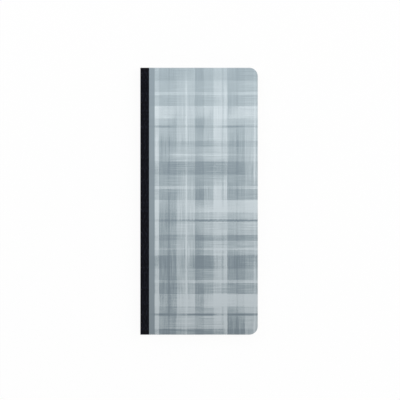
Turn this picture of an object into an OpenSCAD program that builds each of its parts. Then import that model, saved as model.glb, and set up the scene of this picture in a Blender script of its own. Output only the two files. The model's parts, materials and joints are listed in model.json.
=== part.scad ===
// Slim sewn planner with card covers and a cloth spine.
// It lies on its back cover: +Z up, spine at -X, head at +Y,
// with the origin under its middle on the surface that it lies on.

/* [Book] */
// Width of the covers, from the back of the spine to the fore-edge
book_w = 110; // [80:1:160]
// Height of the covers, from tail to head
book_h = 250; // [160:1:320]
// Radius of the two corners at the fore-edge
corner_r = 8; // [2:0.5:15]

/* [Paper] */
// Number of sewn sections
section_count = 6; // [4:1:8]
// Folded sheets in each section
sheet_count = 4; // [2:1:6]
// Thickness of one leaf
paper_t = 0.10; // [0.08:0.01:0.15]
// Air between two leaves of the closed book
leaf_air = 0.01; // [0.005:0.005:0.03]
// Thickness of the endpapers
endpaper_t = 0.12; // [0.08:0.01:0.25]

/* [Covers] */
// Thickness of the cover card
card_t = 0.45; // [0.3:0.05:0.8]
// Distance from the back of the spine to the edges of the cards
card_setback = 1.6; // [1:0.1:3]
// Distance from the back of the spine to the crease of the front cover
crease_x = 4.7; // [4.5:0.1:7]
// Width of the crease
crease_w = 0.10; // [0.05:0.05:0.3]

/* [Cloth] */
// Thickness of the book cloth
cloth_t = 0.20; // [0.15:0.05:0.35]
// Width of the cloth on each cover, from the back of the spine
cloth_lap = 8.2; // [7.5:0.1:20]
// Height of the pressed cloth above the card
cloth_proud = 0.08; // [0.02:0.02:0.14]
// Outer radius of the cloth at the two edges of the spine
cloth_edge_r = 0.9; // [0.5:0.1:1.2]

/* [Spine] */
// Thickness of the lining under the cloth
lining_t = 0.15; // [0.1:0.05:0.3]
// Thickness of the glue behind the sewing thread
glue_film = 0.06; // [0.04:0.01:0.15]

/* [Sewing] */
// Diameter of the sewing thread
thread_d = 0.12; // [0.1:0.01:0.2]
// Clearance around the thread
thread_clearance = 0.02; // [0.01:0.01:0.04]
// Pairs of needle holes along each fold
stitch_count = 4; // [2:1:6]
// Distance of the outermost needle holes from head and tail
kettle_inset = 14; // [8:1:30]

/* [Hinge] */
// Length of the two legs of a fold, from the middle of its bend to where its leaves begin
fold_leg = 0.50; // [0.3:0.05:1]
// Clearance between what stays with the spine and what turns at its two edges
turn_gap = 0.06; // [0.04:0.01:0.12]

/* [Hidden] */
$fn = 48;
CUT = 1;

// Heights, from the back cover up
back_card_z = cloth_proud;
back_paste_z = back_card_z + card_t;
back_fly_z = back_paste_z + endpaper_t + leaf_air;
block_z = back_fly_z + endpaper_t;

// One section: nested folds round the thread
fold_r = thread_d / 2 + thread_clearance / 2;
leaf_pitch = paper_t + leaf_air;
section_r = fold_r + sheet_count * leaf_pitch - leaf_air;
section_pitch = 2 * section_r + leaf_air;
block_top_z = block_z + section_count * section_pitch + leaf_air;

front_fly_z = block_top_z;
front_paste_z = front_fly_z + endpaper_t + leaf_air;
front_card_z = front_paste_z + endpaper_t;
book_t = front_card_z + card_t + cloth_proud;

// Depths, from the back of the spine
lining_x = cloth_t;
glue_x = lining_x + lining_t;
outer_thread_x = glue_x + glue_film + thread_clearance + thread_d / 2;
fold_back_x = outer_thread_x + thread_d / 2 + thread_clearance;
fold_x = fold_back_x + section_r;

// The book opens about the two outer edges of the spine, at x = 0, z = 0 and x = 0, z = book_t
fold_end_x = fold_x + fold_leg;
leaf_x = fold_end_x + turn_gap;
cloth_turn_x = cloth_edge_r + turn_gap;
joint_end_x = crease_x - crease_w / 2;
cover_start_x = crease_x + crease_w / 2;

// Needle holes, from tail to head
hole_count = 2 * stitch_count;
hole_w = thread_d + 2 * thread_clearance;
knot_r = thread_d / 2 + thread_clearance / 4;

SECTIONS = [1:section_count];

// Height of the middle of section k, counted from the front cover
function section_z(k) = block_z + leaf_air + section_r + (section_count - k) * section_pitch;

// Place of needle hole i along the fold, and of the thread's end at a section's head or tail
function hole_y(i) = -book_h / 2 + kettle_inset + i * (book_h - 2 * kettle_inset) / (hole_count - 1);

// From the spine's own coordinates to the middle of the book
module place() {
    translate([-book_w / 2, 0, 0])
        children();
}

// A profile seen from the tail, x out from the spine and y up, run the whole height of the book
module along_spine() {
    rotate([90, 0, 0])
        linear_extrude(book_h, center = true)
            children();
}

// A flat strip from x0 to x1, as tall as the book
module strip(x0, x1, z0, thickness) {
    along_spine()
        translate([x0, z0])
            square([x1 - x0, thickness]);
}

// Outline of covers and leaves from x0 to the fore-edge, with its two round corners
module page_outline(x0) {
    straight_h = book_h - 2 * corner_r;
    translate([x0, -book_h / 2])
        square([book_w - corner_r - x0, book_h]);
    translate([x0, -straight_h / 2])
        square([book_w - x0, straight_h]);
    for (side = [-1, 1])
        translate([book_w - corner_r, side * straight_h / 2])
            circle(corner_r);
}

module page(x0, z0, thickness) {
    translate([0, 0, z0])
        linear_extrude(thickness)
            page_outline(x0);
}

// Cover card with a step that takes the pressed cloth, on the side given by cloth_z
module cover_card(x0, z0, cloth_z) {
    difference() {
        page(x0, z0, card_t);
        translate([-CUT, -book_h / 2 - CUT, cloth_z])
            cube([cloth_lap + CUT, book_h + 2 * CUT, cloth_t]);
    }
}

// Space inside the cloth, seen from the tail
module cloth_inside() {
    inner_r = cloth_edge_r - cloth_t;
    translate([cloth_edge_r, cloth_t])
        square([cloth_lap + CUT, book_t - 2 * cloth_t]);
    translate([cloth_t, cloth_edge_r])
        square([cloth_edge_r, book_t - 2 * cloth_edge_r]);
    for (z = [cloth_edge_r, book_t - cloth_edge_r])
        translate([cloth_edge_r, z])
            circle(inner_r);
}

// The cloth round the back of the spine and its two edges, seen from the tail
module cloth_profile() {
    difference() {
        intersection() {
            square([cloth_edge_r, book_t]);
            union() {
                translate([0, cloth_edge_r])
                    square([cloth_edge_r, book_t - 2 * cloth_edge_r]);
                for (z = [cloth_edge_r, book_t - cloth_edge_r])
                    translate([cloth_edge_r, z])
                        circle(cloth_edge_r);
            }
        }
        cloth_inside();
    }
}

// Folded sheet i of a section, as a U that opens towards the fore-edge
module fold_profile(i) {
    inner_r = fold_r + i * leaf_pitch;
    outer_r = inner_r + paper_t;
    difference() {
        union() {
            circle(outer_r);
            translate([0, -outer_r])
                square([fold_leg, 2 * outer_r]);
        }
        circle(inner_r);
        translate([0, -inner_r])
            square([fold_leg + CUT, 2 * inner_r]);
    }
}

module thread_bar(from, along, length) {
    turn = along == "x" ? [0, 90, 0] : along == "y" ? [-90, 0, 0] : [0, 0, 0];
    translate(from)
        rotate(turn)
            cylinder(d = thread_d, h = length);
}

module thread_knot(at) {
    translate(at)
        sphere(knot_r);
}

// Running stitches of section k: inside its fold and behind it by turns
module section_stitches(k) {
    for (i = [0 : hole_count - 1]) {
        thread_bar([outer_thread_x, hole_y(i), section_z(k)], "x", fold_x - outer_thread_x);
        for (x = [outer_thread_x, fold_x])
            thread_knot([x, hole_y(i), section_z(k)]);
    }
    for (i = [0 : hole_count - 2])
        thread_bar([i % 2 == 0 ? fold_x : outer_thread_x, hole_y(i), section_z(k)],
                   "y", hole_y(i + 1) - hole_y(i));
}

// End of the fold where section k is tied to the next one: head and tail by turns
function tie_y(k) = hole_y(k % 2 == 1 ? hole_count - 1 : 0);

module front_cover() {
    color("#a6b2b7")
        place()
            cover_card(cover_start_x, front_card_z, book_t - cloth_t);
}

module front_cover_cloth() {
    color("#17181c")
        place()
            strip(cover_start_x, cloth_lap, book_t - cloth_t, cloth_t);
}

module front_pastedown() {
    color("#eeeee8")
        place()
            page(cover_start_x, front_paste_z, endpaper_t);
}

module front_joint_card() {
    color("#a6b2b7")
        place()
            strip(card_setback, joint_end_x, front_card_z, book_t - cloth_t - front_card_z);
}

module front_joint_cloth() {
    color("#17181c")
        place()
            strip(cloth_turn_x, joint_end_x, book_t - cloth_t, cloth_t);
}

module front_side_glue() {
    color("#d8cfae")
        place()
            strip(card_setback, joint_end_x, front_paste_z, endpaper_t);
}

module front_flyleaf() {
    color("#eeeee8")
        place()
            page(leaf_x, front_fly_z, endpaper_t);
}

module front_leaves(k) {
    color("#f6f4ea")
        place()
            for (i = [0 : sheet_count - 1])
                page(leaf_x, section_z(k) + fold_r + i * leaf_pitch, paper_t);
}

module back_leaves(k) {
    color("#f6f4ea")
        place()
            for (i = [0 : sheet_count - 1])
                page(leaf_x, section_z(k) - fold_r - i * leaf_pitch - paper_t, paper_t);
}

// Nested folds of one section, pierced where the thread goes through
module section_fold(k) {
    color("#f6f4ea")
        place()
            difference() {
                along_spine()
                    translate([fold_x, section_z(k)])
                        for (i = [0 : sheet_count - 1])
                            fold_profile(i);
                for (i = [0 : hole_count - 1])
                    translate([fold_back_x - CUT, hole_y(i) - hole_w / 2, section_z(k) - hole_w / 2])
                        cube([section_r + CUT, hole_w, hole_w]);
            }
}

// One thread through every section, tied from fold to fold at head and tail
module sewing_thread() {
    color("#fbfbf6")
        place() {
            for (k = SECTIONS)
                section_stitches(k);
            for (k = [1 : section_count - 1])
                thread_bar([outer_thread_x, tie_y(k), section_z(k + 1)], "z", section_pitch);
        }
}

// Glue that fills the valleys between the folds, with channels for the thread
module spine_glue() {
    color("#d8cfae")
        place()
            difference() {
                along_spine()
                    difference() {
                        intersection() {
                            cloth_inside();
                            union() {
                                translate([0, block_z])
                                    square([fold_x, block_top_z - block_z]);
                                for (z = [0, block_top_z])
                                    translate([0, z])
                                        square([card_setback - turn_gap, book_t - block_top_z]);
                            }
                        }
                        translate([0, cloth_edge_r])
                            square([glue_x, book_t - 2 * cloth_edge_r]);
                        for (k = SECTIONS)
                            translate([fold_x, section_z(k)]) {
                                circle(section_r + leaf_air);
                                translate([outer_thread_x - hole_w / 2 - fold_x, -hole_w / 2])
                                    square([section_r, hole_w]);
                            }
                    }
                for (k = [1 : section_count - 1])
                    translate([outer_thread_x - hole_w / 2, tie_y(k) - hole_w / 2, section_z(k + 1)])
                        cube([fold_x, hole_w, section_pitch]);
            }
}

module spine_lining() {
    color("#c9c6bb")
        place()
            along_spine()
                translate([lining_x, cloth_edge_r])
                    square([lining_t, book_t - 2 * cloth_edge_r]);
}

module spine_cloth() {
    color("#17181c")
        place()
            along_spine()
                cloth_profile();
}

module back_flyleaf() {
    color("#eeeee8")
        place()
            page(leaf_x, back_fly_z, endpaper_t);
}

module back_pastedown() {
    color("#eeeee8")
        place()
            page(crease_x, back_paste_z, endpaper_t);
}

module back_side_glue() {
    color("#d8cfae")
        place()
            strip(card_setback, crease_x, back_paste_z, endpaper_t);
}

module back_cover() {
    color("#a6b2b7")
        place()
            cover_card(card_setback, back_card_z, 0);
}

module back_cover_cloth() {
    color("#17181c")
        place()
            strip(cloth_turn_x, cloth_lap, 0, cloth_t);
}

front_cover();
front_cover_cloth();
front_pastedown();
front_joint_card();
front_joint_cloth();
front_side_glue();
front_flyleaf();
for (k = SECTIONS) {
    front_leaves(k);
    back_leaves(k);
    section_fold(k);
}
sewing_thread();
spine_glue();
spine_lining();
spine_cloth();
back_flyleaf();
back_pastedown();
back_side_glue();
back_cover();
back_cover_cloth();
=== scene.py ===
"""Finished look of a slim sewn planner with card covers and a cloth spine, built over its CAD frame."""

import json
import math

import bmesh
import bpy
from bpy.props import FloatProperty, FloatVectorProperty, IntProperty, PointerProperty
from bpy.types import NodeSocket, Operator, Panel, PropertyGroup
from mathutils import Color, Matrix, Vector


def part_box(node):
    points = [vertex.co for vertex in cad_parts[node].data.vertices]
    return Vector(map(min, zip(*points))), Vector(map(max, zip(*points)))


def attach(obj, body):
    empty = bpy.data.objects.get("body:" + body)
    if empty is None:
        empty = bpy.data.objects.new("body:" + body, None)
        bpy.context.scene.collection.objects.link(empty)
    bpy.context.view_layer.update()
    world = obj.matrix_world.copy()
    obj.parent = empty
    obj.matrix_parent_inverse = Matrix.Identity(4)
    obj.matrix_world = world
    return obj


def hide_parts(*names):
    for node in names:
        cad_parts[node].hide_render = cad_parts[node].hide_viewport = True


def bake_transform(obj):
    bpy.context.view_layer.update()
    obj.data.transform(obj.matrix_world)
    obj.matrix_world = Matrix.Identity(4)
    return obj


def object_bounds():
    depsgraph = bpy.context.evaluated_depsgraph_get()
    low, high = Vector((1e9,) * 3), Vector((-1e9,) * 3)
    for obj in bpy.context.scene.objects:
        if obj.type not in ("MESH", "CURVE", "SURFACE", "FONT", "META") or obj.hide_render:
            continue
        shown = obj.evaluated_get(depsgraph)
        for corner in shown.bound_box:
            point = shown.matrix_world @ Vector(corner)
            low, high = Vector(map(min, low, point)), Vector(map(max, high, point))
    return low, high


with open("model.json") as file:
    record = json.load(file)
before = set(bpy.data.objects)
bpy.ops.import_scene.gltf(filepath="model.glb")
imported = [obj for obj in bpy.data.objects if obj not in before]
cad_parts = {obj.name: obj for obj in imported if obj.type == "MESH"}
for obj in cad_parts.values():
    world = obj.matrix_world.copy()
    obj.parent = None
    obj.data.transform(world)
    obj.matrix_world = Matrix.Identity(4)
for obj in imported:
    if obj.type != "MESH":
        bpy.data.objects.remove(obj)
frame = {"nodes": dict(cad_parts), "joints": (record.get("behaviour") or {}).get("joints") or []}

bl_info = {
    "name": "Sewn Planner",
    "version": (1, 0, 0),
    "blender": (4, 5, 0),
    "location": "3D View > Sidebar > Planner",
    "description": "Covers, cloth, leaves and sewing of a slim planner, over its CAD frame",
    "category": "Add Mesh",
}

MM = 0.001
# Points nearer than this are one point
SAME_PLACE = 0.0001 * MM

# Bodies of the frame that the pieces move with
BACK, SPINE, FRONT = "back_cover", "spine", "front_cover"
FIRST_LEAVES, LAST_LEAVES = "section_1_front", "section_6_back"

# Places, sizes and counts that come from the frame
CAD_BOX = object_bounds()
SPINE_X, EDGE_X = CAD_BOX[0].x, CAD_BOX[1].x
TAIL_Y, HEAD_Y = CAD_BOX[0].y, CAD_BOX[1].y
TOP_Z = CAD_BOX[1].z
BOOK_W, BOOK_H = EDGE_X - SPINE_X, HEAD_Y - TAIL_Y
FOLD_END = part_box("section_1_fold")[1].x
LAP_LOW, LAP_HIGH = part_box("front_cover_cloth")
CLOTH_T = LAP_HIGH.z - LAP_LOW.z
SECTIONS = range(1, 1 + sum(name.endswith("_fold") for name in frame["nodes"]))

# A leaf's bend beside its fold is at least this long, and longer by a share of the height that it bridges
SHORTEST_BEND, BEND_SHARE = 0.4 * MM, 1.5
# A leaf is finely divided up to the crown of its bend, given as a share of the bend's length. From there
# it slopes down in one straight stretch, which ends this far from its fold.
CROWN, SLOPE = 0.57, 28 * MM
BEND_STEPS, CORNER_STEPS = 12, 10
# Where the plain stretch of a cover or leaf is divided, in shares of its width
PLAIN_SHARES = (0.3, 0.65)
# Rows of the cloth over the front joint, round an edge of the spine, across its back and on the back cover
JOINT_ROWS, EDGE_ROWS, BACK_ROWS, UNDER_ROWS = 13, 8, 8, 6
# On the front cover: plain rows and their pitch, fine ones in the gap of the crease, and all the fine ones
LAP_ROWS, LAP_PITCH, GAP_ROWS, CREASE_ROWS = 8, 0.4 * MM, 6, 9
# Steps of a fold's round back, from a leaf to the needle hole
FOLD_STEPS = 5
# UV of the faces that aren't on a page
OFF_PAGE = (-1, -1)
# Each of the thread's two plies: its radius and its offset, in shares of the thread's diameter
PLY_RADIUS, PLY_OFFSET, PLY_SIDES = 0.26, 0.25, 5

# Bands of the printed check as (where the band starts, its tone), in shares of one repeat
WARP_BANDS = ((0.0, 0.50), (0.07, 0.86), (0.19, 0.62), (0.215, 0.86), (0.27, 0.34), (0.40, 0.16),
              (0.43, 0.34), (0.53, 0.60), (0.66, 0.92), (0.685, 0.60), (0.80, 0.22), (0.93, 0.50))
WEFT_BANDS = ((0.0, 0.36), (0.06, 0.64), (0.20, 0.20), (0.225, 0.64), (0.30, 0.88), (0.43, 0.46),
              (0.55, 0.74), (0.58, 0.46), (0.70, 0.24), (0.84, 0.58), (0.90, 0.80), (0.92, 0.58))

# The floor lies a hair under the book, so that their faces don't meet
FLOOR_REACH, FLOOR_DROP = 4.0, 0.02 * MM
# Lamps as (name, place, size, share of the main lamp's power), all aimed at the book
LAMPS = (("key_lamp", (-0.85, 0.60, 0.75), 0.9, 1.0), ("fore_edge_lamp", (1.0, 0.30, 0.60), 1.0, 0.8),
         ("tail_lamp", (0.25, -1.10, 0.60), 1.0, 0.8), ("head_lamp", (0.10, 1.15, 0.60), 1.0, 0.5))


def colour_prop(name, description, red, green, blue):
    """A colour property whose default is given in display values up to 255"""
    linear = Color((red / 255, green / 255, blue / 255)).from_srgb_to_scene_linear()
    return FloatVectorProperty(name=name, description=description, subtype="COLOR", size=3, min=0, max=1,
                               default=tuple(linear))


def length_prop(name, description, default):
    return FloatProperty(name=name, description=description, default=default, min=0, unit="LENGTH",
                         subtype="DISTANCE", precision=5)


def share_prop(name, description, default, high=1):
    return FloatProperty(name=name, description=description, default=default, min=0, max=high,
                         subtype="FACTOR")


class CoverSettings(PropertyGroup):
    """Print and card of the two covers"""
    light: colour_prop("Light", "Palest band of the check", 204, 214, 219)
    middle: colour_prop("Middle", "Ground of the check", 165, 178, 184)
    dark: colour_prop("Dark", "Darkest band of the check", 124, 138, 147)
    border: colour_prop("Border", "Plain stripe beside the cloth", 129, 142, 150)
    core: colour_prop("Core", "Cut edge of the card", 226, 226, 220)
    border_width: length_prop("Border Width", "Width of the plain stripe", 5.2 * MM)
    check_width: length_prop("Check Width", "One repeat of the check across the cover", 64 * MM)
    check_height: length_prop("Check Height", "One repeat of the check up the cover", 88 * MM)
    thread_pitch: length_prop("Thread Pitch", "Printed threads of the check", 0.42 * MM)
    ravel: length_prop("Ravel", "How far single threads run past the edge of their band", 2.4 * MM)
    patch: length_prop("Patch", "Size of the areas where one set of threads shows more", 34 * MM)
    fade: share_prop("Fade", "How much darker the print is at the tail than at the head", 0.49)
    bite: share_prop("Bite", "How much stronger the check is at the tail than at the head", 1.0, high=2)
    rub: length_prop("Rub", "How far in from its outline a cover is rubbed", 0.9 * MM)
    corner_radius: length_prop("Corner Radius", "Round corners at the fore-edge", 8 * MM)
    soft_edge: length_prop("Soft Edge", "Rounding of the cut edges", 0.05 * MM)


class ClothSettings(PropertyGroup):
    """Cloth round the spine"""
    colour: colour_prop("Colour", "Dyed cloth", 8, 9, 14)
    pitch: length_prop("Pitch", "Distance from thread to thread", 0.40 * MM)
    crease_depth: length_prop("Crease Depth", "Depth of the pressed hinge groove", 0.07 * MM)
    crease_reach: length_prop("Crease Reach", "Half the width of the hinge groove", 0.45 * MM)
    gauze: colour_prop("Gauze", "Lining under the cloth", 201, 197, 186)
    gauze_pitch: length_prop("Gauze Pitch", "Distance from thread to thread of the lining", 0.9 * MM)
    glue: colour_prop("Glue", "Dry binding glue", 216, 203, 168)


class LeafSettings(PropertyGroup):
    """Paper of the leaves and what is ruled on them"""
    paper: colour_prop("Paper", "Writing paper", 246, 243, 233)
    endpaper: colour_prop("Endpaper", "Paper that lines the covers", 236, 236, 230)
    rule: colour_prop("Rule", "Ruled lines", 134, 152, 166)
    tint: colour_prop("Tint", "Shaded heading and name column", 222, 229, 232)
    row: length_prop("Row", "Height of one ruled row", 6.4 * MM)
    column: length_prop("Column", "Width of one ruled column", 6.0 * MM)
    names: length_prop("Names", "Width of the name column", 36 * MM)
    heading: length_prop("Heading", "Height of the heading", 17 * MM)
    margin: length_prop("Margin", "Plain margin round the ruling", 8 * MM)
    line: length_prop("Line", "Thickness of a ruled line", 0.28 * MM)
    bleed: length_prop("Bleed", "How far the ink of a ruled line runs to each side", 0.5 * MM)
    gap: length_prop("Gap", "Air between two leaves", 0.01 * MM)
    trim: length_prop("Trim", "Unevenness of the trimmed edges", 0.12 * MM)
    per_half: IntProperty(name="Leaves", description="Leaves in half a section", default=4, min=1)
    seed: IntProperty(name="Seed", description="Seed of the unevenness", default=11)


class SewingSettings(PropertyGroup):
    """Thread that holds the sections"""
    colour: colour_prop("Colour", "Sewing thread", 249, 248, 242)
    diameter: length_prop("Diameter", "Thickness of the thread", 0.12 * MM)
    lay: length_prop("Lay", "Length of one turn of the two plies", 1.5 * MM)
    hole: length_prop("Hole", "Width of a needle hole", 0.16 * MM)
    holes: IntProperty(name="Holes", description="Needle holes along each fold", default=8, min=2)
    inset: length_prop("Inset", "Outermost holes from head and tail", 14 * MM)


class StageSettings(PropertyGroup):
    """Floor, lamps and camera"""
    floor: colour_prop("Floor", "Plain floor", 250, 250, 250)
    white: share_prop("White", "How much of the floor's look is plain white", 0.92)
    frame_width: length_prop("Frame Width", "Width that the camera takes in at the front cover", 374.5 * MM)
    lens: FloatProperty(name="Lens", description="Focal length", default=100, min=10, unit="CAMERA")
    aim: FloatVectorProperty(name="Aim", description="Where the camera looks, from the middle of the book",
                             size=2, default=(0.90 * MM, 1.14 * MM), subtype="XYZ", unit="LENGTH")
    ambient: FloatProperty(name="Ambient", description="Level of the even light", default=0.50, min=0)
    lamp: FloatProperty(name="Lamp", description="Power of the main lamp", default=5.2, min=0, unit="POWER")


class Net:
    """Adds nodes to a tree and joins them"""

    def __init__(self, tree):
        self.tree = tree

    def put(self, socket, value):
        """Joins value to the socket if it comes from a node, and otherwise sets it there"""
        if isinstance(value, NodeSocket):
            self.tree.links.new(value, socket)
        else:
            socket.default_value = value

    def add(self, kind, inputs=None, **settings):
        """A node of this kind with its settings, and its inputs by name or number"""
        node = self.tree.nodes.new(kind)
        for key, value in settings.items():
            setattr(node, key, value)
        for key, value in (inputs or {}).items():
            self.put(node.inputs[key], value)
        return node

    def result(self, kind, inputs=None, **settings):
        """The first output of a new node"""
        return self.add(kind, inputs, **settings).outputs[0]

    def effect(self, build, **inputs):
        """A shared shader node group, as its outputs by name"""
        return self.add("ShaderNodeGroup", inputs, node_tree=shared_tree(build)).outputs

    def feed(self, shader, **inputs):
        """Joins or sets the shader's inputs by name, with _ for a space"""
        for name, value in inputs.items():
            self.put(shader.inputs[name.replace("_", " ")], value)

    def in_book(self):
        """Place in the book's own frame"""
        return self.add("ShaderNodeTexCoord").outputs["Object"]

    def on_sheet(self):
        """Place on the flat sheet of paper or cloth, from the piece's UV map"""
        return self.result("ShaderNodeUVMap", uv_map="UVMap")

    def parts(self, vector):
        return self.add("ShaderNodeSeparateXYZ", {0: vector}).outputs

    def vector(self, x=0.0, y=0.0, z=0.0):
        return self.result("ShaderNodeCombineXYZ", {0: x, 1: y, 2: z})

    def stretch(self, vector, factors):
        return self.result("ShaderNodeVectorMath", {0: vector, 1: factors}, operation="MULTIPLY")

    def math(self, operation, first, second=0.0, third=0.0):
        return self.result("ShaderNodeMath", {0: first, 1: second, 2: third}, operation=operation)

    def times(self, first, second):
        return self.math("MULTIPLY", first, second)

    def opposite(self, value):
        return self.math("SUBTRACT", 1.0, value)

    def span(self, value, low, high):
        """A value from 0 to 1, as one from low to high"""
        return self.math("MULTIPLY_ADD", value, high - low, low)

    def swing(self, value, width):
        """A value from 0 to 1, as one that swings round 0"""
        return self.span(value, -width / 2, width / 2)

    def step(self, value, edge, soft):
        """0 below edge and 1 above it, with a soft change"""
        return self.result("ShaderNodeMapRange", {0: value, 1: edge - soft / 2, 2: edge + soft / 2},
                           clamp=True, interpolation_type="SMOOTHSTEP")

    def between(self, value, low, high, soft):
        """1 between low and high, and 0 outside them"""
        return self.times(self.step(value, low, soft), self.opposite(self.step(value, high, soft)))

    def either(self, share, first, second):
        """A mix of two values, with this share of the second"""
        return self.result("ShaderNodeMix", {0: share, 2: first, 3: second}, data_type="FLOAT")

    def mix(self, share, first, second, blend="MIX"):
        """A mix of two colours, with this share of the second"""
        first, second = (c if isinstance(c, NodeSocket) else (*c, 1) for c in (first, second))
        return self.add("ShaderNodeMix", {0: share, 6: first, 7: second}, data_type="RGBA", blend_type=blend,
                        clamp_factor=True).outputs[2]

    def ramp(self, value, stops, interpolation="LINEAR"):
        """The colour at value, from stops of (place, colour)"""
        node = self.add("ShaderNodeValToRGB", {0: value})
        node.color_ramp.interpolation = interpolation
        elements = node.color_ramp.elements
        for place, _ in stops[2:]:
            elements.new(place)
        for element, (place, colour) in zip(elements, stops):
            element.position = place
            element.color = (*colour, 1)
        return node.outputs[0]

    def noise(self, vector, scale, detail=2.0, roughness=0.5):
        return self.result("ShaderNodeTexNoise", {"Vector": vector, "Scale": scale, "Detail": detail,
                                                  "Roughness": roughness})

    def bump(self, height, strength, distance):
        return self.result("ShaderNodeBump", {"Height": height, "Strength": strength, "Distance": distance})


def new_tree(name, kind, inputs, outputs):
    """An empty node tree with its sockets, as (tree, net, what it is given by name, what it gives by name)"""
    tree = bpy.data.node_groups.new(name, kind)
    for way, sockets in (("INPUT", inputs), ("OUTPUT", outputs)):
        for socket, what in sockets.items():
            tree.interface.new_socket(socket, in_out=way, socket_type="NodeSocket" + what)
    net = Net(tree)
    return tree, net, net.add("NodeGroupInput").outputs, net.add("NodeGroupOutput").inputs


def shared_tree(build):
    """The node tree that build makes, which is made once and named after it"""
    return bpy.data.node_groups.get(build.__name__) or build(build.__name__)


def plain_weave(name):
    """Over-and-under weave: the Height of its threads, and a Tone for each of them"""
    tree, net, given, out = new_tree(name, "ShaderNodeTree", {"Vector": "Vector", "Pitch": "Float"},
                                     {"Height": "Float", "Tone": "Float"})
    across, along = (net.math("DIVIDE", place, given["Pitch"]) for place in net.parts(given["Vector"])[:2])
    column, row = net.math("FLOOR", across), net.math("FLOOR", along)
    over = net.math("FLOORED_MODULO", net.math("ADD", column, row), 2.0)
    warp, weft = (net.math("SINE", net.times(net.math("FRACT", place), math.pi))
                  for place in (across, along))
    across_thread, along_thread = net.either(over, warp, weft), net.either(over, weft, warp)
    net.put(out["Height"], net.times(across_thread, net.span(along_thread, 0.65, 1.0)))
    thread = net.either(over, column, row)
    net.put(out["Tone"], net.result("ShaderNodeTexWhiteNoise", {"W": thread}, noise_dimensions="1D"))
    return tree


def paper_fibre(name):
    """Fibres and cloudy formation of paper or card: a Tone round 0.5, and the Height of the fibres"""
    tree, net, given, out = new_tree(name, "ShaderNodeTree", {"Vector": "Vector", "Fibre": "Float"},
                                     {"Tone": "Float", "Height": "Float"})
    fine = net.math("DIVIDE", 1.0, given["Fibre"])
    standing, lying = (net.noise(net.stretch(given["Vector"], way), fine, detail=3.0, roughness=0.6)
                       for way in ((1.0, 0.22, 1.0), (0.25, 1.0, 1.0)))
    fibres = net.either(0.5, standing, lying)
    cloud = net.noise(given["Vector"], net.times(fine, 0.06))
    net.put(out["Tone"], net.either(0.4, fibres, cloud))
    net.put(out["Height"], fibres)
    return tree


def handling_rub(name):
    """Light rubbing along the outline of a cover, as a Mask"""
    tree, net, given, out = new_tree(name, "ShaderNodeTree", {"Vector": "Vector", "Reach": "Float"},
                                     {"Mask": "Float"})
    x, y, _ = net.parts(given["Vector"])
    from_end = net.math("SUBTRACT", BOOK_H / 2, net.math("ABSOLUTE", y))
    inward = net.math("MINIMUM", net.math("SUBTRACT", EDGE_X, x), from_end)
    near = net.math("MAXIMUM", net.opposite(net.math("DIVIDE", inward, given["Reach"])), 0.0)
    broken = net.noise(given["Vector"], 900.0, detail=4.0, roughness=0.65)
    net.put(out["Mask"], net.times(near, net.step(broken, 0.52, 0.25)))
    return tree


def new_material(name):
    """A node material, as (material, net, its Principled shader)"""
    material = bpy.data.materials.new(name)
    material.use_nodes = True
    return material, Net(material.node_tree), material.node_tree.nodes["Principled BSDF"]


def scaled(colour, share):
    return tuple(min(1.0, share * channel) for channel in colour)


def check_tone(net, cover, spot, from_spine, from_tail):
    """Tone of the printed check: bands of warp and weft with ravelled edges, whose threads show by turns"""
    # Each thread is streaked: finely across it, and in long runs along it
    pitch = 1 / cover.thread_pitch
    run = 0.012 * pitch
    warp, weft = (net.noise(net.stretch(spot, way), 1.0, roughness=0.7)
                  for way in ((pitch, run, 0), (run, pitch, 0)))
    tones = []
    for place, repeat, stops, own, crossing in (
            (from_spine, cover.check_width, WARP_BANDS, warp, weft),
            (from_tail, cover.check_height, WEFT_BANDS, weft, warp)):
        ragged = net.math("ADD", place, net.swing(crossing, cover.ravel))
        greys = [(start, (tone, tone, tone)) for start, tone in stops]
        band = net.ramp(net.math("FRACT", net.math("DIVIDE", ragged, repeat)), greys, "CONSTANT")
        tones.append(net.math("ADD", band, net.swing(own, 1.1)))
    x, y, _ = net.parts(spot)
    twill = net.math("FRACT", net.times(net.math("ADD", x, y), pitch))
    patch = net.step(net.noise(spot, 1 / cover.patch, detail=1.0), 0.5, 0.3)
    weft_share = net.math("MULTIPLY_ADD", net.step(twill, 0.5, 0.2), 0.4, net.span(patch, 0.05, 0.55))
    return net.either(weft_share, *tones)


def print_material(cover):
    """Woven check in blue-greys, printed on card under a satin laminate"""
    material, net, shader = new_material("printed_cover")
    spot = net.in_book()
    x, y, _ = net.parts(spot)
    from_spine, from_tail = net.math("SUBTRACT", x, SPINE_X), net.math("SUBTRACT", y, TAIL_Y)
    tone = check_tone(net, cover, spot, from_spine, from_tail)
    rise = net.math("DIVIDE", from_tail, BOOK_H)
    strength = net.span(rise, 1 + cover.bite / 2, 1 - cover.bite / 2)
    tone = net.math("MULTIPLY_ADD", net.math("SUBTRACT", tone, 0.5), strength, 0.5)
    colour = net.ramp(tone, ((0.22, cover.dark), (0.5, cover.middle), (0.80, cover.light)))
    # The check shows a little through the plain stripe, and the card through the rubbed print
    border_end = LAP_HIGH.x - SPINE_X + cover.border_width
    border = net.opposite(net.step(from_spine, border_end, 0.2 * MM))
    colour = net.mix(net.times(border, 0.9), colour, cover.border)
    shade = net.span(rise, 1 - cover.fade / 2, 1 + cover.fade / 2)
    colour = net.mix(1.0, colour, shade, "MULTIPLY")
    rubbed = net.effect(handling_rub, Vector=spot, Reach=cover.rub)["Mask"]
    colour = net.mix(net.times(rubbed, 0.35), colour, cover.core)
    film = net.noise(spot, 260.0, detail=3.0, roughness=0.6)
    net.feed(shader, Base_Color=colour, Roughness=net.span(film, 0.40, 0.56), Specular_IOR_Level=0.32,
             Normal=net.bump(net.noise(spot, 2600.0), strength=0.10, distance=0.02 * MM))
    return material


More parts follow.
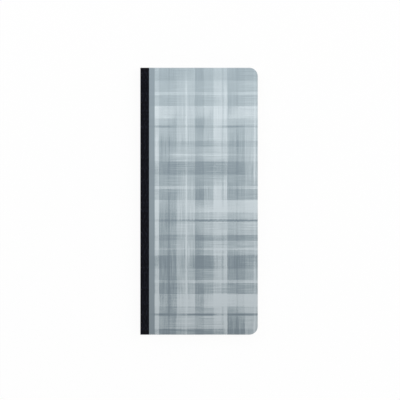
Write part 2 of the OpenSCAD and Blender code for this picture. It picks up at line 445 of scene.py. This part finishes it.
def core_material(cover):
    """Cut edge and bare inner face of the cover card"""
    material, net, shader = new_material("card_core")
    layers = net.stretch(net.in_book(), (1, 1, 6))
    fibre = net.effect(paper_fibre, Vector=layers, Fibre=0.25 * MM)
    colour = net.mix(net.span(fibre["Tone"], 0.05, 0.95), scaled(cover.core, 0.78), cover.core)
    net.feed(shader, Base_Color=colour, Roughness=0.85,
             Normal=net.bump(fibre["Height"], strength=0.4, distance=0.03 * MM))
    return material


def cloth_material(cloth):
    """Dyed book cloth: a tight plain weave with slubs, mottled and a little polished by handling"""
    material, net, shader = new_material("woven_cloth")
    spot = net.on_sheet()
    weave = net.effect(plain_weave, Vector=spot, Pitch=cloth.pitch)
    # Painted shade: the colour is darker where the threads dip into the hollows of the weave. The dye also
    # differs from thread to thread and along each of them
    slub = net.noise(net.stretch(spot, (0.05 / cloth.pitch, 1 / cloth.pitch, 0)), 1.0)
    shade_and_dye = net.math("MULTIPLY_ADD", weave["Height"], 0.55, net.times(weave["Tone"], 0.25))
    shade_and_dye = net.math("MULTIPLY_ADD", slub, 0.3, shade_and_dye)
    # Darker in the hollows of the weave as painted shade, and varied by the dye
    dyed_and_shaded = net.mix(shade_and_dye, scaled(cloth.colour, 0.45), scaled(cloth.colour, 1.5))
    mottle = net.noise(net.stretch(spot, (1.0, 0.4, 0.0)), 0.28 / cloth.pitch, roughness=0.6)
    faded = net.times(net.step(mottle, 0.56, 0.24), 0.7)
    polish = net.noise(spot, 120.0, detail=4.0, roughness=0.6)
    net.feed(shader, Base_Color=net.mix(faded, dyed_and_shaded, scaled(cloth.colour, 5)),
             Roughness=net.span(polish, 0.55, 0.80), Sheen_Weight=0.02, Sheen_Roughness=0.5,
             Specular_IOR_Level=0.05, Normal=net.bump(weave["Height"], strength=0.8, distance=0.06 * MM))
    return material


def gauze_material(cloth):
    """Open gauze that is soaked with glue"""
    material, net, shader = new_material("lining_gauze")
    _, y, z = net.parts(net.in_book())
    height = net.effect(plain_weave, Vector=net.vector(y, z), Pitch=cloth.gauze_pitch)["Height"]
    net.feed(shader, Base_Color=net.mix(net.step(height, 0.45, 0.3), cloth.glue, cloth.gauze),
             Roughness=net.span(height, 0.45, 0.85), Normal=net.bump(height, strength=0.7, distance=0.1 * MM))
    return material


def glue_material(cloth):
    """Dry glue, clouded where it was laid on unevenly"""
    material, net, shader = new_material("dry_glue")
    cloud = net.noise(net.in_book(), 420.0, detail=4.0, roughness=0.6)
    net.feed(shader, Base_Color=net.mix(cloud, scaled(cloth.glue, 0.72), scaled(cloth.glue, 1.15)),
             Roughness=net.span(cloud, 0.3, 0.6), Normal=net.bump(cloud, strength=0.4, distance=0.06 * MM))
    return material


def plain_paper(net, spot, paper, fibre_size):
    """Colour and height of unprinted paper. The cut edges, which lie off the page, are painted darker, as
    shade between the stacked leaves, by a share that differs at random from leaf to leaf."""
    fibre = net.effect(paper_fibre, Vector=spot, Fibre=fibre_size)
    page = net.mix(fibre["Tone"], scaled(paper, 0.92), paper)
    leaf = net.add("ShaderNodeAttribute", attribute_name="leaf_edge_shade").outputs["Fac"]
    at_edge = net.math("LESS_THAN", net.parts(spot)[0], OFF_PAGE[0] / 2)
    # Painted shade on the cut edges, by a share that differs at random from leaf to leaf
    shade = net.times(at_edge, net.math("MULTIPLY_ADD", leaf, 1.1, 0.32))
    return net.mix(shade, page, scaled(paper, 0.66)), fibre["Height"]


def ruling(net, leaf, spot):
    """Masks of the lines and of the tinted areas on a page: a heading and a grid on both pages of a spread,
    and a name column on the left one"""
    soft, bold, only_once = 0.05 * MM, 2.2 * leaf.line, 10.0
    u, y, _ = net.parts(spot)
    left_page = net.math("GREATER_THAN", u, 0.5)
    x = net.math("SUBTRACT", u, left_page)
    low, high = TAIL_Y + leaf.margin, HEAD_Y - leaf.margin
    top_row, names_from = high - leaf.heading, BOOK_W - leaf.margin - leaf.names
    inside = net.times(net.between(x, leaf.margin, BOOK_W - leaf.margin, soft),
                       net.between(y, low, high, soft))
    in_names = net.times(left_page, net.step(x, names_from, soft))
    in_heading = net.step(y, top_row, soft)

    def lines(value, start, pitch, thickness):
        """Lines a pitch apart that fade out on both sides, with the ink of sharp ones of this thickness"""
        share = net.math("FRACT", net.math("DIVIDE", net.math("SUBTRACT", value, start - pitch / 2), pitch))
        off = net.math("ABSOLUTE", net.math("SUBTRACT", share, 0.5))
        bare = net.step(off, leaf.bleed / pitch / 2, leaf.bleed / pitch)
        return net.times(net.opposite(bare), min(1.0, thickness / leaf.bleed))

    columns = net.math("MAXIMUM", lines(x, names_from, leaf.column, leaf.line),
                       lines(x, names_from, 5 * leaf.column, bold))
    rows = lines(y, top_row, leaf.row, leaf.line)
    drawn = net.math("MAXIMUM", net.times(columns, net.opposite(in_names)),
                     net.times(rows, net.opposite(in_heading)))
    for value, start, pitch in ((x, leaf.margin, BOOK_W - 2 * leaf.margin), (y, low, high - low),
                                (y, top_row, only_once), (x, names_from, only_once)):
        drawn = net.math("MAXIMUM", drawn, lines(value, start, pitch, bold))
    tinted = net.math("MAXIMUM", in_names, in_heading)
    return net.times(drawn, inside), net.times(tinted, inside)


def leaf_material(leaf):
    """Writing paper, ruled for marks"""
    material, net, shader = new_material("ruled_leaf")
    spot = net.on_sheet()
    drawn, tinted = ruling(net, leaf, spot)
    colour, height = plain_paper(net, spot, leaf.paper, 0.5 * MM)
    colour = net.mix(net.times(tinted, 0.75), colour, leaf.tint)
    colour = net.mix(net.times(drawn, 0.85), colour, leaf.rule)
    net.feed(shader, Base_Color=colour, Roughness=0.72, Specular_IOR_Level=0.3,
             Normal=net.bump(height, strength=0.25, distance=0.02 * MM))
    return material


def endpaper_material(leaf):
    """Plain uncoated paper that lines the covers"""
    material, net, shader = new_material("plain_endpaper")
    colour, height = plain_paper(net, net.on_sheet(), leaf.endpaper, 0.8 * MM)
    net.feed(shader, Base_Color=colour, Roughness=0.85, Specular_IOR_Level=0.25,
             Normal=net.bump(height, strength=0.35, distance=0.03 * MM))
    return material


def thread_material(sewing):
    """Bleached thread with short stray fibres"""
    material, net, shader = new_material("sewing_thread")
    fuzz = net.noise(net.in_book(), 9000.0, detail=3.0, roughness=0.7)
    net.feed(shader, Base_Color=net.mix(fuzz, scaled(sewing.colour, 0.75), sewing.colour), Roughness=0.8,
             Sheen_Weight=0.2, Normal=net.bump(fuzz, strength=0.4, distance=0.02 * MM))
    return material


def spread(first, last, steps):
    """Places from first to last, evenly apart"""
    return [first + (last - first) * i / steps for i in range(steps + 1)]


def half_height(x, radius):
    """Half of the height of a cover or leaf at x: less near the fore-edge, where its corners are round"""
    into = x - (EDGE_X - radius)
    if into <= 0:
        return BOOK_H / 2
    return BOOK_H / 2 - radius + math.sqrt(max(radius ** 2 - into ** 2, 0.0))


def outline_steps(start, radius, bend=0.0):
    """Places from start to the fore-edge, close together at a leaf's bend and at the round corners"""
    places = spread(start, start + CROWN * bend, BEND_STEPS) + [start + SLOPE] if bend else [start]
    corner = EDGE_X - radius
    plain = [places[-1] + (corner - places[-1]) * share for share in PLAIN_SHARES]
    return places + plain + [corner + radius * math.sin(turn)
                             for turn in spread(0, math.pi / 2, CORNER_STEPS)]


def mesh_from(bm, name):
    mesh = bpy.data.meshes.new(name)
    bm.to_mesh(mesh)
    bm.free()
    return mesh


def bar_faces(rings):
    """Faces of a closed bar through rings of four points, as (corners, side): 0 along the second pair of
    points, 1 along the first pair, and 2 for the cut edges"""
    for a, b in zip(rings, rings[1:]):
        yield from (((a[2], b[2], b[3], a[3]), 0), ((a[0], a[1], b[1], b[0]), 1),
                    ((a[0], b[0], b[2], a[2]), 2), ((a[1], a[3], b[3], b[1]), 2))
    first, last = rings[0], rings[-1]
    yield from (((first[0], first[2], first[3], first[1]), 2), ((last[0], last[1], last[3], last[2]), 2))


def plate(name, columns, radius, origin_x=0.0):
    """A closed plate from columns (x, lowest z, highest z). Its material slots are upper face, lower face
    and cut edges. Its UV map holds metres from the spine and from the middle of the book; the lower face is
    a metre further along, and the cut edges lie off the page."""
    bm = bmesh.new()
    uv = bm.loops.layers.uv.new("UVMap")
    rows = []
    for x, low, high in columns:
        half = half_height(x, radius)
        rows.append([bm.verts.new((x - origin_x, y, z)) for z in (low, high) for y in (-half, half)])
    for corners, index in bar_faces(rows):
        face = bm.faces.new(corners)
        face.material_index = index
        for loop in face.loops:
            x, y = loop.vert.co.x + origin_x - SPINE_X, loop.vert.co.y
            loop[uv].uv = ((x, y), (x + 1, y), OFF_PAGE)[index]
    # A step between two columns at one place leaves faces without any area
    bmesh.ops.remove_doubles(bm, verts=bm.verts, dist=SAME_PLACE)
    bmesh.ops.dissolve_degenerate(bm, dist=SAME_PLACE, edges=bm.edges)
    return mesh_from(bm, name)


def placed(name, data, location=(0, 0, 0)):
    """A new object in the scene"""
    thing = bpy.data.objects.new(name, data)
    thing.location = location
    bpy.context.scene.collection.objects.link(thing)
    return thing


def new_piece(name, mesh, materials=()):
    for material in materials:
        mesh.materials.append(material)
    return placed(name, mesh)


def made_plain(source, name, build=None, inputs=None):
    """The finished shape of source as a new object with a plain mesh, through the Geometry Nodes tree of
    build if there is one. The source is removed."""
    if build:
        modifier = source.modifiers.new(build.__name__, "NODES")
        modifier.node_group = shared_tree(build)
        sockets = {item.name: item.identifier for item in modifier.node_group.interface.items_tree}
        for socket, value in inputs.items():
            modifier[sockets[socket]] = value
    bpy.context.view_layer.update()
    graph = bpy.context.evaluated_depsgraph_get()
    mesh = bpy.data.meshes.new_from_object(source.evaluated_get(graph), preserve_all_data_layers=True,
                                           depsgraph=graph)
    bpy.data.objects.remove(source)
    mesh.name = name
    return new_piece(name, mesh)


def softened(piece, width):
    """The piece with its sharp cut edges rounded a little"""
    bevel = piece.modifiers.new("Soft edge", "BEVEL")
    bevel.width, bevel.segments = width, 2
    bevel.limit_method, bevel.angle_limit = "ANGLE", math.radians(40)
    name = piece.name
    piece.name = name + "_sharp"
    return made_plain(piece, name)


def carry(piece, slot, body, *nodes, bend=None):
    """Hides the nodes that the finished piece stands for, and puts the piece on the body that it rides on. A
    piece that bends gives bend as (the other body, where the bend starts there, where it ends); it is only
    fixed where it stands, and not put on a body."""
    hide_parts(*nodes)
    if bend:
        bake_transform(piece)
    else:
        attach(piece, body)


def leaf_bend(node, body):
    """Length of a leaf's bend: the further it lies from the edge that it turns about, the longer"""
    low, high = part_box(node)
    edge_z = next(joint["pos_m"][2] for joint in frame["joints"] if joint["child"] == body)
    return SHORTEST_BEND + BEND_SHARE * abs((low.z + high.z) / 2 - edge_z)


def leaf_thickness(leaf, node):
    """Thickness of one leaf of the half section that node holds"""
    low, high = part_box(node)
    return (high.z - low.z - (leaf.per_half - 1) * leaf.gap) / leaf.per_half


def realized(net, geometry, material):
    """The end of a Geometry Nodes tree: plain faces, in their material"""
    real = net.result("GeometryNodeRealizeInstances", {"Geometry": geometry})
    return net.result("GeometryNodeSetMaterial", {"Geometry": real, "Material": material})


def leaf_copies(name):
    """Geometry Nodes tree that stacks copies of one leaf, each trimmed a little unevenly"""
    tree, net, given, out = new_tree(
        name, "GeometryNodeTree",
        {"Leaf": "Geometry", "Count": "Int", "First": "Vector", "Pitch": "Float", "Shrink": "Float",
         "Seed": "Int", "Paper": "Material"}, {"Leaves": "Geometry"})
    line = net.result("GeometryNodeMeshLine", {"Count": given["Count"], "Start Location": given["First"],
                                               "Offset": net.vector(z=given["Pitch"])}, mode="OFFSET")
    other_seed = net.math("ADD", given["Seed"], 100.0)
    across, along = (net.add("FunctionNodeRandomValue", {"Seed": seed}, data_type="FLOAT").outputs[1]
                     for seed in (given["Seed"], other_seed))
    width = net.opposite(net.times(across, given["Shrink"]))
    # A leaf is about twice as tall as it is wide, so half the share trims as much there
    height = net.opposite(net.times(along, net.times(given["Shrink"], 0.5)))
    copies = net.result("GeometryNodeInstanceOnPoints", {"Points": line, "Instance": given["Leaf"],
                                                         "Scale": net.vector(width, height, 1.0)})
    # Each leaf keeps a random share of the painted shade on its cut edges
    with_edge_shade = net.result("GeometryNodeStoreNamedAttribute",
                       {"Geometry": copies, "Name": "leaf_edge_shade", "Value": net.math("SUBTRACT", along, 0.5)},
                       data_type="FLOAT", domain="INSTANCE")
    net.put(out["Leaves"], realized(net, with_edge_shade, given["Paper"]))
    return tree


def leaf_stack(name, start_x, low, thickness, count, material, seed, bend=0.0):
    """Like leaves from start_x to the fore-edge, stacked from height low upwards, finely divided for a bend
    of length bend at start_x
    """
    scene = bpy.context.scene
    leaf, radius = scene.planner_leaves, scene.planner_covers.corner_radius
    columns = [(x, 0.0, thickness) for x in outline_steps(start_x, radius, bend)]
    source = new_piece(name + "_one", plate(name + "_one", columns, radius, start_x), [material])
    return made_plain(source, name, leaf_copies, {
        "Count": count, "First": (start_x, 0.0, low), "Pitch": thickness + leaf.gap,
        "Shrink": leaf.trim / (EDGE_X - start_x), "Seed": leaf.seed + seed, "Paper": material})


def joint_strip(name, node, material, slot):
    """A flat strip under the cloth of the front joint, in place of node"""
    low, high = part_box(node)
    columns = [(x, low.z, high.z) for x in (low.x, high.x)]
    carry(new_piece(name, plate(name, columns, 0.0), [material] * 3), slot, FIRST_LEAVES, node)


def fold_round(k):
    """Middle and radius of the round back of a section's folds"""
    low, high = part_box(f"section_{k}_fold")
    radius = (high.z - low.z) / 2
    return Vector((low.x + radius, 0, (low.z + high.z) / 2)), radius


def hole_places(sewing):
    return spread(TAIL_Y + sewing.inset, HEAD_Y - sewing.inset, sewing.holes - 1)


class PLANNER_OT_covers(Operator):
    """Make the two card covers and the strip of card at the front joint"""
    bl_idname = "planner.covers"
    bl_label = "Covers"

    def execute(self, context):
        cover = context.scene.planner_covers
        printed, core = print_material(cover), core_material(cover)
        for node, faces in ((FRONT, (printed, core, core)), (BACK, (core, printed, core))):
            low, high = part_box(node)
            under_cloth = (low.z, TOP_Z - CLOTH_T) if node == FRONT else (CLOTH_T, high.z)
            beyond = [x for x in outline_steps(low.x, cover.corner_radius) if x > LAP_HIGH.x]
            columns = [(x, *under_cloth) for x in (low.x, LAP_HIGH.x)]
            columns += [(x, low.z, high.z) for x in (LAP_HIGH.x, *beyond)]
            mesh = plate("printed_" + node, columns, cover.corner_radius)
            piece = softened(new_piece(mesh.name, mesh, faces), cover.soft_edge)
            carry(piece, "cover_card", node, node)
        joint_strip("joint_card_strip", "front_joint_card", core, "cover_card")
        return {"FINISHED"}


class PLANNER_OT_cloth(Operator):
    """Make the strip of cloth that goes round the spine and laps onto both covers"""
    bl_idname = "planner.cloth"
    bl_label = "Cloth"

    def execute(self, context):
        cloth = context.scene.planner_cloth
        material = cloth_material(cloth)
        joint_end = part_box("front_joint_cloth")[1].x
        edge_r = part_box("spine_lining")[0].z
        bend_x = SPINE_X + edge_r

        def on_front(x, from_groove):
            """A row on the front, lower near the hinge groove"""
            near = max(0.0, 1 - from_groove / cloth.crease_reach)
            return Vector((x, 0, TOP_Z - cloth.crease_depth * near ** 2)), Vector((x, 0, TOP_Z - CLOTH_T))

        def round_edge(centre_z, start):
            """Rows round one edge of the spine, from start to a quarter turn on"""
            return [[Vector((bend_x - r * math.sin(turn), 0, centre_z + r * math.cos(turn)))
                     for r in (edge_r, edge_r - CLOTH_T)]
                    for turn in spread(start, start + math.pi / 2, EDGE_ROWS)]

        rows = [on_front(x, joint_end - x) for x in spread(joint_end, bend_x, JOINT_ROWS)[:-1]]
        rows += round_edge(TOP_Z - edge_r, 0)
        rows += [(Vector((SPINE_X, 0, z)), Vector((SPINE_X + CLOTH_T, 0, z)))
                 for z in spread(TOP_Z - edge_r, edge_r, BACK_ROWS)[1:]]
        spine, round_spine = self.ribbon("woven_spine_cloth", rows, material)
        carry(spine, "book_cloth", FIRST_LEAVES, "spine_cloth", "front_joint_cloth",
              bend=(SPINE, (SPINE_X, 0, TOP_Z - edge_r), (bend_x, 0, TOP_Z)))

        rows = round_edge(edge_r, math.pi / 2)
        rows += [(Vector((x, 0, 0)), Vector((x, 0, CLOTH_T)))
                 for x in spread(bend_x, LAP_HIGH.x, UNDER_ROWS)[1:]]
        under, _ = self.ribbon("woven_back_cloth", rows, material, round_spine)
        carry(under, "book_cloth", SPINE, "back_cover_cloth",
              bend=(BACK, (bend_x, 0, 0), (SPINE_X, 0, edge_r)))

        fine = (LAP_LOW.x - joint_end) / GAP_ROWS
        places = [LAP_HIGH.x - LAP_PITCH * i for i in range(LAP_ROWS)]
        places += spread(joint_end + CREASE_ROWS * fine, joint_end, CREASE_ROWS)
        rows = [on_front(x, max(0.0, x - LAP_LOW.x)) for x in places]
        lap, _ = self.ribbon("woven_lap_cloth", rows, material)
        carry(lap, "book_cloth", FRONT, "front_cover_cloth",
              bend=(FIRST_LEAVES, (joint_end + fine / 2, 0, 0), (LAP_LOW.x + fine / 2, 0, 0)))
        return {"FINISHED"}

    def ribbon(self, name, rows, material, start=0.0):
        """A closed ribbon as tall as the book, from rows of (outer place, inner place), and where it ends.
        Its UV map holds metres along its outer face, from start, and metres from the middle of the book."""
        bm = bmesh.new()
        uv = bm.loops.layers.uv.new("UVMap")
        rings, place, length = [], {}, start
        for before, row in zip([rows[0], *rows], rows):
            length += (row[0] - before[0]).length
            rings.append([bm.verts.new((co.x, y, co.z)) for co in row for y in (TAIL_Y, HEAD_Y)])
            place.update((vert, (length, vert.co.y)) for vert in rings[-1])
        for corners, _ in bar_faces(rings):
            for loop in bm.faces.new(corners).loops:
                loop[uv].uv = place[loop.vert]
        bmesh.ops.recalc_face_normals(bm, faces=bm.faces)
        return new_piece(name, mesh_from(bm, name), [material]), length


class PLANNER_OT_leaves(Operator):
    """Make the leaves of every section, ruled on both pages"""
    bl_idname = "planner.leaves"
    bl_label = "Leaves"

    def execute(self, context):
        leaf = context.scene.planner_leaves
        material = leaf_material(leaf)
        for k in SECTIONS:
            for i, half in enumerate(("front", "back")):
                body = f"section_{k}_{half}"
                node = body + "_leaves"
                bend = leaf_bend(node, body)
                piece = leaf_stack(f"ruled_leaves_{k}_{half}", FOLD_END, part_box(node)[0].z,
                                   leaf_thickness(leaf, node), leaf.per_half, material, 2 * k + i, bend)
                carry(piece, "leaf_paper", body, node,
                      bend=(SPINE, (FOLD_END, 0, 0), (FOLD_END + bend, 0, 0)))
        return {"FINISHED"}


class PLANNER_OT_folds(Operator):
    """Make the nested folds of every section, pierced for the thread"""
    bl_idname = "planner.folds"
    bl_label = "Folds"

    def execute(self, context):
        leaf, sewing = context.scene.planner_leaves, context.scene.planner_sewing
        material = bpy.data.materials["ruled_leaf"]
        levels = [y + side * sewing.hole / 2 for y in hole_places(sewing) for side in (-1, 1)]
        levels = [TAIL_Y, *levels, HEAD_Y]
        for k in SECTIONS:
            centre, radius = fold_round(k)
            thickness = leaf_thickness(leaf, f"section_{k}_front_leaves")
            bm = bmesh.new()
            uv = bm.loops.layers.uv.new("UVMap")
            for i in range(leaf.per_half):
                outer = radius - i * (thickness + leaf.gap)
                self.folded_sheet(bm, centre, outer - thickness, outer, levels, sewing.hole)
            for face in bm.faces:
                for loop in face.loops:
                    loop[uv].uv = OFF_PAGE
            bmesh.ops.recalc_face_normals(bm, faces=bm.faces)
            name = f"sewn_fold_{k}"
            piece = new_piece(name, mesh_from(bm, name), [material])
            carry(piece, "leaf_paper", SPINE, f"section_{k}_fold")
        return {"FINISHED"}

    def folded_sheet(self, bm, centre, inner, outer, levels, hole):
        """One U that opens towards the fore-edge, as cells between levels, with the pierced cells left out"""
        leg = FOLD_END - centre.x
        half_hole = math.asin(min(0.95, hole / 2 / outer))
        turns = spread(math.pi / 2, math.pi - half_hole, FOLD_STEPS)
        turns += [2 * math.pi - turn for turn in reversed(turns)]
        section = [((leg, inner), (leg, outer))]
        section += [[(r * math.cos(turn), r * math.sin(turn)) for r in (inner, outer)] for turn in turns]
        section.append(((leg, -inner), (leg, -outer)))
        verts = {}
        for j, sides in enumerate(section):
            for m, y in enumerate(levels):
                for s, (dx, dz) in enumerate(sides):
                    verts[j, m, s] = bm.verts.new((centre.x + dx, y, centre.z + dz))
        pierced = len(section) // 2 - 1
        cells = {(j, m) for j in range(len(section) - 1) for m in range(len(levels) - 1)
                 if not (m % 2 == 1 and j == pierced)}
        for j, m in sorted(cells):
            ring = ((j, m), (j + 1, m), (j + 1, m + 1), (j, m + 1))
            for s in (0, 1):
                bm.faces.new([verts[a, b, s] for a, b in ring])
            beside = ((j, m - 1), (j + 1, m), (j, m + 1), (j - 1, m))
            for a, b, cell in zip(ring, ring[1:] + ring[:1], beside):
                if cell not in cells:
                    bm.faces.new([verts[*a, 0], verts[*b, 0], verts[*b, 1], verts[*a, 1]])
        loose = [vert for vert in bm.verts if not vert.link_faces]
        bmesh.ops.delete(bm, geom=loose, context="VERTS")


class PLANNER_OT_endpapers(Operator):
    """Make the flyleaves and the sheets that are pasted to the covers"""
    bl_idname = "planner.endpapers"
    bl_label = "Endpapers"

    def execute(self, context):
        material = endpaper_material(context.scene.planner_leaves)
        bodies = {"front_flyleaf": FIRST_LEAVES, "back_flyleaf": LAST_LEAVES, "front_pastedown": FRONT,
                  "back_pastedown": BACK}
        for seed, (node, body) in enumerate(bodies.items(), start=40):
            low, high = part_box(node)
            piece = leaf_stack("plain_" + node, low.x, low.z, high.z - low.z, 1, material, seed)
            carry(piece, "endpaper", body, node)
        return {"FINISHED"}


def twisted_plies(name):
    """Geometry Nodes tree that sweeps two twisted plies along a path"""
    tree, net, given, out = new_tree(
        name, "GeometryNodeTree",
        {"Path": "Geometry", "Diameter": "Float", "Lay": "Float", "Thread": "Material"},
        {"Plies": "Geometry"})
    length = net.add("GeometryNodeSplineParameter").outputs["Length"]
    turns = net.times(net.math("DIVIDE", length, given["Lay"]), 2 * math.pi)
    path = net.result("GeometryNodeSetCurveTilt", {"Curve": given["Path"], "Tilt": turns})
    radius = net.times(given["Diameter"], PLY_RADIUS)
    ply = net.result("GeometryNodeCurvePrimitiveCircle", {"Resolution": PLY_SIDES, "Radius": radius})
    pair = net.add("GeometryNodeJoinGeometry")
    for offset in (PLY_OFFSET, -PLY_OFFSET):
        aside = net.vector(net.times(given["Diameter"], offset))
        net.put(pair.inputs[0], net.result("GeometryNodeTransform", {"Geometry": ply, "Translation": aside}))
    swept = net.result("GeometryNodeCurveToMesh", {"Curve": path, "Profile Curve": pair.outputs[0],
                                                   "Fill Caps": True})
    net.put(out["Plies"], realized(net, swept, given["Thread"]))
    return tree


class PLANNER_OT_sewing(Operator):
    """Make the sewing thread, two plies twisted together, along its stitches"""
    bl_idname = "planner.sewing"
    bl_label = "Sewing Thread"

    def execute(self, context):
        sewing = context.scene.planner_sewing
        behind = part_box("sewing_thread")[0].x + sewing.diameter / 2
        corners = []
        for k in SECTIONS:
            inside, _, z = fold_round(k)[0]
            run = []
            for i, y in enumerate(hole_places(sewing)):
                through = [Vector((behind, y, z)), Vector((inside, y, z))]
                run += through if i % 2 == 0 else through[::-1]
            corners += run if k % 2 else run[::-1]
        points = self.rounded(corners, cut=0.05 * MM, step=0.45 * MM)
        curve = bpy.data.curves.new("stitch_path", "CURVE")
        curve.dimensions = "3D"
        spline = curve.splines.new("POLY")
        spline.points.add(len(points) - 1)
        for target, co in zip(spline.points, points):
            target.co = (*co, 1)
        piece = made_plain(placed("stitch_path", curve), "twisted_thread", twisted_plies, {
            "Diameter": sewing.diameter, "Lay": sewing.lay, "Thread": thread_material(sewing)})
        carry(piece, "thread", SPINE, "sewing_thread")
        return {"FINISHED"}

    def rounded(self, corners, cut, step):
        """The path through corners, each one cut round, with points about a step apart between them"""
        points = [corners[0]]
        for i, corner in enumerate(corners):
            before, after = corners[max(i - 1, 0)], corners[min(i + 1, len(corners) - 1)]
            arrive = corner + (before - corner).normalized() * cut if i else corner
            leave = corner + (after - corner).normalized() * cut if after != corner else corner
            gap = arrive - points[-1]
            count = max(1, round(gap.length / step))
            points += [points[-1] + gap * n / count for n in range(1, count)]
            for share in (0.0, 0.5, 1.0):
                bend = arrive.lerp(corner, share).lerp(corner.lerp(leave, share), share)
                if (bend - points[-1]).length > SAME_PLACE:
                    points.append(bend)
        return points


class PLANNER_OT_spine_inside(Operator):
    """Finish the glue and the lining inside the spine"""
    bl_idname = "planner.spine_inside"
    bl_label = "Glue and Lining"

    def execute(self, context):
        cloth = context.scene.planner_cloth
        glue, gauze = glue_material(cloth), gauze_material(cloth)
        for node, material in (("spine_glue", glue), ("back_side_glue", glue), ("spine_lining", gauze)):
            slots = frame["nodes"][node].data.materials
            slots.clear()
            slots.append(material)
        joint_strip("joint_glue_strip", "front_side_glue", glue, "glue")
        return {"FINISHED"}


class PLANNER_OT_stage(Operator):
    """Set the floor, the lamps, the world and the camera"""
    bl_idname = "planner.stage"
    bl_label = "Stage"

    def execute(self, context):
        scene, stage = context.scene, context.scene.planner_stage
        scene.view_settings.view_transform = "Standard"
        corners = [(x * FLOOR_REACH, y * FLOOR_REACH, -FLOOR_DROP)
                   for x, y in ((-1, -1), (1, -1), (1, 1), (-1, 1))]
        mesh = bpy.data.meshes.new("floor")
        mesh.from_pydata(corners, [], [(0, 1, 2, 3)])
        new_piece("floor", mesh, [self.floor_material(stage)])
        self.light_world(scene, stage)
        for name, place, size, share in LAMPS:
            lamp = bpy.data.lights.new(name, "AREA")
            lamp.shape, lamp.size, lamp.energy = "DISK", size, stage.lamp * share
            aim = (-Vector(place)).to_track_quat("-Z", "Y")
            placed(name, lamp, place).rotation_euler = aim.to_euler()
        camera = bpy.data.cameras.new("camera")
        camera.lens, camera.sensor_fit = stage.lens, "HORIZONTAL"
        above = stage.frame_width * stage.lens / camera.sensor_width
        scene.camera = placed("camera", camera, (*stage.aim, TOP_Z + above))
        return {"FINISHED"}

    def seen_rays(self, net):
        """1 for rays that come from the camera, a reflection or glass"""
        path = net.add("ShaderNodeLightPath").outputs
        seen = net.math("MAXIMUM", path["Is Camera Ray"], path["Is Glossy Ray"])
        return net.math("MAXIMUM", seen, path["Is Transmission Ray"])

    def floor_material(self, stage):
        """A pale floor that looks almost white and keeps a trace of the shadow. Light passes it from below,
        and within less than a millimetre, so that it doesn't darken what lies on it."""
        material, net, shader = new_material("floor")
        grain = net.noise(net.in_book(), 60.0)
        net.feed(shader, Base_Color=net.mix(grain, stage.floor, scaled(stage.floor, 0.985)), Roughness=0.9,
                 Specular_IOR_Level=0.1)
        white = net.result("ShaderNodeEmission", {"Color": (1, 1, 1, 1), "Strength": 1.0})
        share = net.times(self.seen_rays(net), stage.white)
        lit = net.result("ShaderNodeMixShader", {0: share, 1: shader.outputs[0], 2: white})
        below = net.add("ShaderNodeNewGeometry").outputs["Backfacing"]
        close = net.math("LESS_THAN", net.add("ShaderNodeLightPath").outputs["Ray Length"], 0.6 * MM)
        clear = net.result("ShaderNodeBsdfTransparent")
        passes = net.math("MAXIMUM", below, close)
        whole = net.result("ShaderNodeMixShader", {0: passes, 1: lit, 2: clear})
        net.put(net.tree.nodes["Material Output"].inputs["Surface"], whole)
        return material

    def light_world(self, scene, stage):
        """Even light from all sides, in front of plain white"""
        scene.world = bpy.data.worlds.new("studio")
        scene.world.use_nodes = True
        net = Net(scene.world.node_tree)
        strength = net.either(self.seen_rays(net), stage.ambient, 1.0)
        net.feed(net.tree.nodes["Background"], Color=(1, 1, 1, 1), Strength=strength)


class PLANNER_PT_panel(Panel):
    """Lists what the planner is made of"""
    bl_label = "Planner"
    bl_idname = "PLANNER_PT_panel"
    bl_space_type = "VIEW_3D"
    bl_region_type = "UI"
    bl_category = "Planner"

    def draw(self, context):
        for operator in OPERATORS:
            self.layout.operator(operator.bl_idname)
        for name, group in SETTINGS.items():
            box = self.layout.box()
            box.label(text=group.__doc__)
            settings = getattr(context.scene, name)
            for key in group.__annotations__:
                box.prop(settings, key)


SETTINGS = {"planner_covers": CoverSettings, "planner_cloth": ClothSettings, "planner_leaves": LeafSettings,
            "planner_sewing": SewingSettings, "planner_stage": StageSettings}
OPERATORS = (PLANNER_OT_stage, PLANNER_OT_covers, PLANNER_OT_cloth, PLANNER_OT_leaves, PLANNER_OT_folds,
             PLANNER_OT_endpapers, PLANNER_OT_sewing, PLANNER_OT_spine_inside)
CLASSES = (*SETTINGS.values(), *OPERATORS, PLANNER_PT_panel)


def register():
    for group in CLASSES:
        bpy.utils.register_class(group)
    for name, group in SETTINGS.items():
        setattr(bpy.types.Scene, name, PointerProperty(type=group))


def unregister():
    for name in SETTINGS:
        delattr(bpy.types.Scene, name)
    for group in reversed(CLASSES):
        bpy.utils.unregister_class(group)


def main():
    register()
    bpy.ops.planner.stage()
    bpy.ops.planner.covers()
    bpy.ops.planner.cloth()
    bpy.ops.planner.leaves()
    bpy.ops.planner.folds()
    bpy.ops.planner.endpapers()
    bpy.ops.planner.sewing()
    bpy.ops.planner.spine_inside()


if __name__ == "__main__":
    main()
